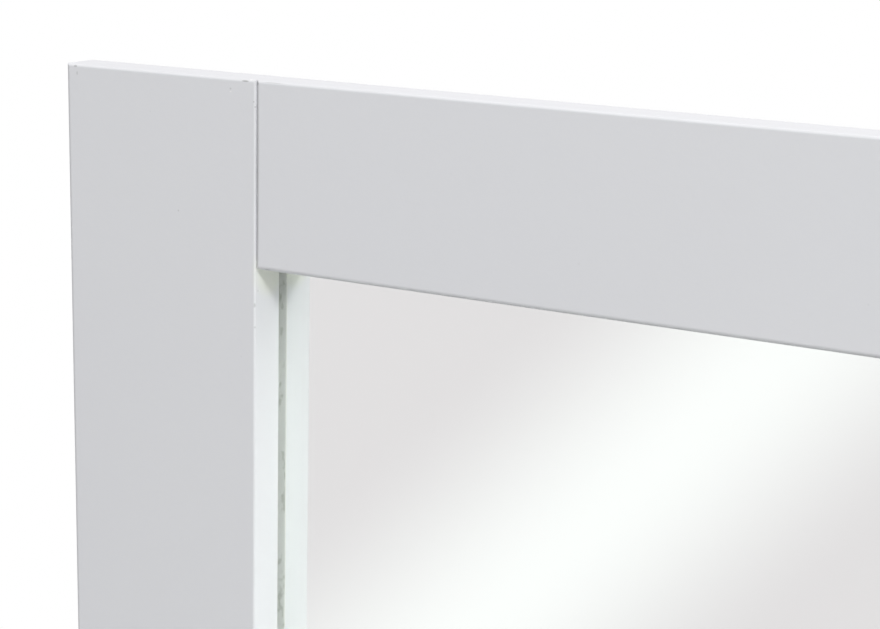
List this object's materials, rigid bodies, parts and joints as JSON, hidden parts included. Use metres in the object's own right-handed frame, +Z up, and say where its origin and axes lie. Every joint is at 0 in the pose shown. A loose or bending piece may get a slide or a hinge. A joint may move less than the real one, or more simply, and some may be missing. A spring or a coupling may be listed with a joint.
{
  "type": "bathroom mirror",
  "caption": "Portrait wall mirror in a flat white board frame, its pane held against the frame's back by swivel clips, with keyhole hangers and rubber bumpers.",
  "frame": {"origin": "in the wall plane, midway between the middles of the two keyhole entries", "axes": "+X to the right as seen from the room, +Y towards the wall, +Z up; the mirror faces -Y"},
  "size_m": [0.6, 0.025, 0.8],
  "materials": {
    "white_board": "fibreboard in smooth white satin lacquer",
    "beech": "bare turned beech",
    "glass": "clear float glass with a faint green edge",
    "silver": "silver coat under grey-green backing paint",
    "hardboard": "brown pressed hardboard, smooth outside",
    "adhesive": "cured pale grey neutral silicone",
    "zinc_steel": "bright zinc plating on stamped steel",
    "screw_steel": "zinc-plated screw steel",
    "rubber": "matt black moulded rubber"
  },
  "bodies": {
    "frame": {"left_stile": "white_board", "right_stile": "white_board", "top_rail": "white_board", "bottom_rail": "white_board", "dowels_top_left": "beech", "dowels_top_right": "beech", "dowels_bottom_left": "beech", "dowels_bottom_right": "beech", "mirror_glass": "glass", "silver_coat": "silver", "back_panel": "hardboard", "adhesive_beads": "adhesive", "clip_screws": "screw_steel", "hanger_left": "zinc_steel", "hanger_right": "zinc_steel", "hanger_screws": "screw_steel", "bumper_screws": "screw_steel", "bumper_top_left": "rubber", "bumper_top_right": "rubber", "bumper_bottom_left": "rubber", "bumper_bottom_right": "rubber"},
    "clip_left_upper": {"clip_left_upper": "zinc_steel"},
    "clip_left_lower": {"clip_left_lower": "zinc_steel"},
    "clip_right_upper": {"clip_right_upper": "zinc_steel"},
    "clip_right_lower": {"clip_right_lower": "zinc_steel"},
    "clip_top_left": {"clip_top_left": "zinc_steel"},
    "clip_top_right": {"clip_top_right": "zinc_steel"},
    "clip_bottom_left": {"clip_bottom_left": "zinc_steel"},
    "clip_bottom_right": {"clip_bottom_right": "zinc_steel"}
  },
  "joints": [
    {"name": "swivel_left_upper", "type": "hinge", "parent": "frame", "child": "clip_left_upper", "pos_m": [-0.243, -0.0094, -0.11], "axis": [0, 1, 0], "continuous": true},
    {"name": "swivel_left_lower", "type": "hinge", "parent": "frame", "child": "clip_left_lower", "pos_m": [-0.243, -0.0094, -0.49], "axis": [0, 1, 0], "continuous": true},
    {"name": "swivel_right_upper", "type": "hinge", "parent": "frame", "child": "clip_right_upper", "pos_m": [0.243, -0.0094, -0.11], "axis": [0, 1, 0], "continuous": true},
    {"name": "swivel_right_lower", "type": "hinge", "parent": "frame", "child": "clip_right_lower", "pos_m": [0.243, -0.0094, -0.49], "axis": [0, 1, 0], "continuous": true},
    {"name": "swivel_top_left", "type": "hinge", "parent": "frame", "child": "clip_top_left", "pos_m": [-0.12, -0.0094, 0.059], "axis": [0, 1, 0], "continuous": true},
    {"name": "swivel_top_right", "type": "hinge", "parent": "frame", "child": "clip_top_right", "pos_m": [0.12, -0.0094, 0.059], "axis": [0, 1, 0], "continuous": true},
    {"name": "swivel_bottom_left", "type": "hinge", "parent": "frame", "child": "clip_bottom_left", "pos_m": [-0.12, -0.0094, -0.659], "axis": [0, 1, 0], "continuous": true},
    {"name": "swivel_bottom_right", "type": "hinge", "parent": "frame", "child": "clip_bottom_right", "pos_m": [0.12, -0.0094, -0.659], "axis": [0, 1, 0], "continuous": true}
  ]
}
